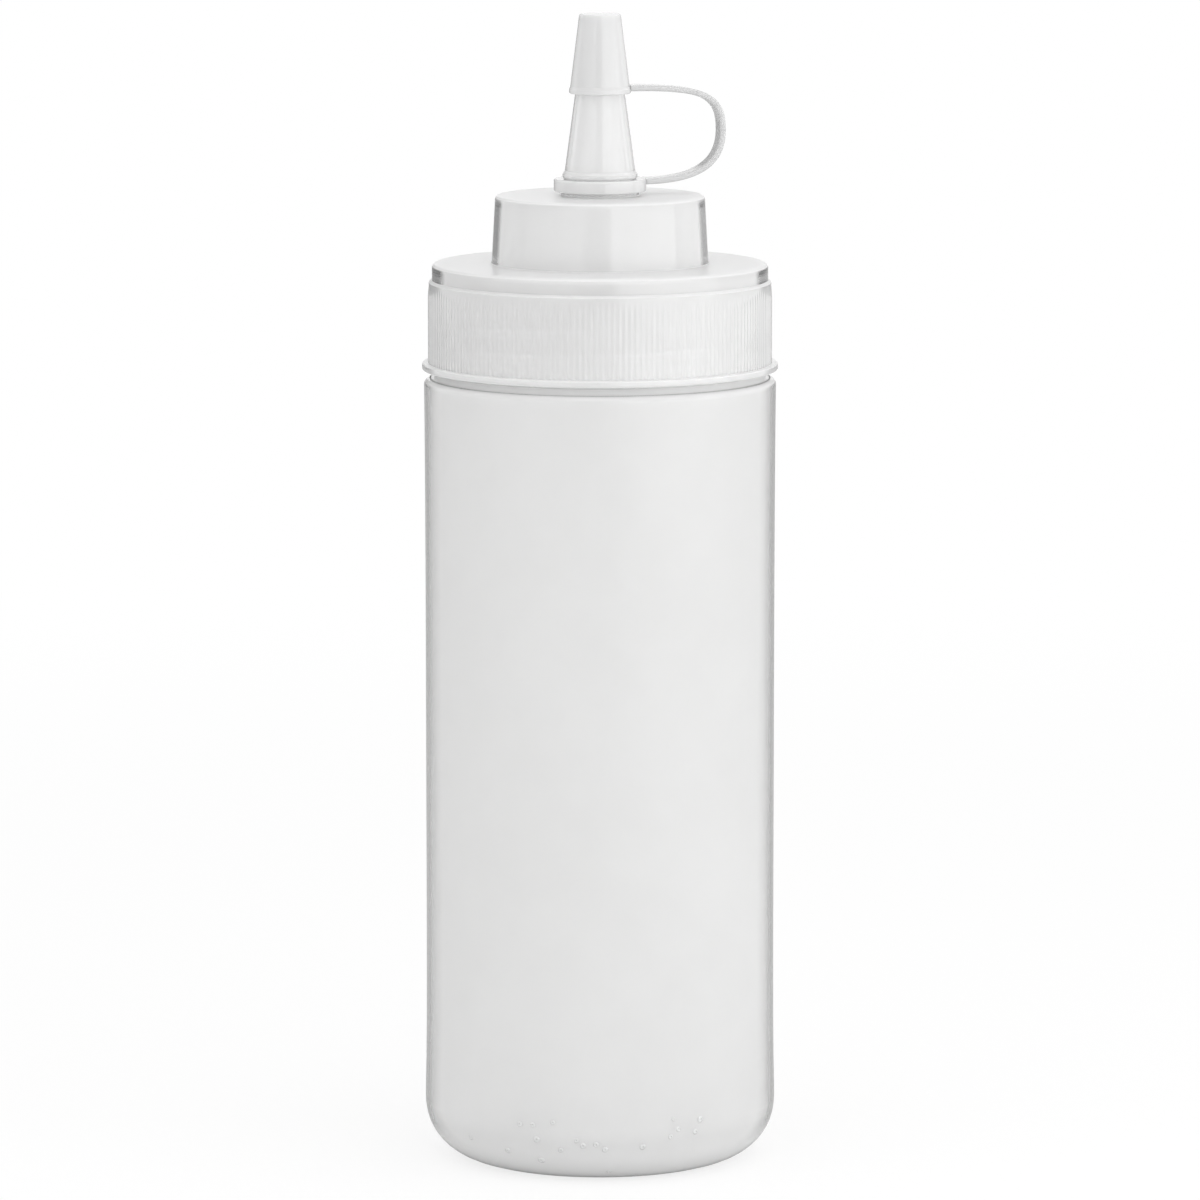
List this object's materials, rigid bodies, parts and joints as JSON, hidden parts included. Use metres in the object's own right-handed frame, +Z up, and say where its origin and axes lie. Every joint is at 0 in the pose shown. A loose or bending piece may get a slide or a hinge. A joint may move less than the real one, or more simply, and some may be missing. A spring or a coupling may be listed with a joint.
{
  "type": "squeeze sauce bottle",
  "caption": "Translucent squeeze bottle with a wide ribbed screw lid, a stepped dome, a cone nozzle and a tip cap held by a strap loop.",
  "frame": {"origin": "centre of the standing ring under the bottle, on the surface it stands on", "axes": "+Z up the bottle's axis to the nozzle's tip; +X towards the strap loop; +Y across it"},
  "size_m": [0.0732, 0.0732, 0.2374],
  "materials": {
    "bottle_plastic": "satin, milky and translucent",
    "lid_plastic": "satin, milky and translucent",
    "cap_plastic": "satin, milky and translucent",
    "seal_foam": "soft white sealing ring"
  },
  "bodies": {
    "bottle": {"bottle": "bottle_plastic"},
    "seal_ring": {"seal_ring": "seal_foam"},
    "lid": {"lid": "lid_plastic"},
    "tether_ring": {"tether_ring": "cap_plastic"},
    "strap_1": {"strap_1": "cap_plastic"},
    "strap_2": {"strap_2": "cap_plastic"},
    "strap_3": {"strap_3": "cap_plastic"},
    "strap_4": {"strap_4": "cap_plastic"},
    "tip_cap": {"tip_cap": "cap_plastic"}
  },
  "joints": [
    {"name": "lid_rise", "type": "slide", "parent": "bottle", "child": "seal_ring", "axis": [0, 0, 1], "range_m": [0, 0.01875]},
    {"name": "lid_turn", "type": "hinge", "parent": "seal_ring", "child": "lid", "pos_m": [0, 0, 0.17], "axis": [0, 0, 1], "range_deg": [0, 1351]},
    {"name": "tether_swivel", "type": "hinge", "parent": "lid", "child": "tether_ring", "pos_m": [0, 0, 0.2023], "axis": [0, 0, 1], "continuous": true},
    {"name": "strap_root_bend", "type": "hinge", "parent": "tether_ring", "child": "strap_1", "pos_m": [0.01127, 0, 0.20309], "axis": [0, 1, 0], "range_deg": [-25, 0]},
    {"name": "strap_outer_bend", "type": "hinge", "parent": "strap_1", "child": "strap_2", "pos_m": [0.02519, 0, 0.21048], "axis": [0, 1, 0], "range_deg": [0, 40]},
    {"name": "strap_crest_bend", "type": "hinge", "parent": "strap_2", "child": "strap_3", "pos_m": [0.02512, 0, 0.21656], "axis": [0, 1, 0], "range_deg": [0, 50]},
    {"name": "strap_upper_bend", "type": "hinge", "parent": "strap_3", "child": "strap_4", "pos_m": [0.02213, 0, 0.22018], "axis": [0, 1, 0], "range_deg": [0, 50]},
    {"name": "cap_flip", "type": "hinge", "parent": "strap_4", "child": "tip_cap", "pos_m": [0.01674, 0, 0.22167], "axis": [0, 1, 0], "range_deg": [0, 50]}
  ],
  "couplings": [
    {"joint": "lid_turn", "follows": "lid_rise", "rad_per_m": 1256.6},
    {"joint": "strap_root_bend", "follows": "cap_flip", "ratio": -0.5},
    {"joint": "strap_outer_bend", "follows": "cap_flip", "ratio": 0.8},
    {"joint": "strap_crest_bend", "follows": "cap_flip", "ratio": 1},
    {"joint": "strap_upper_bend", "follows": "cap_flip", "ratio": 1}
  ]
}
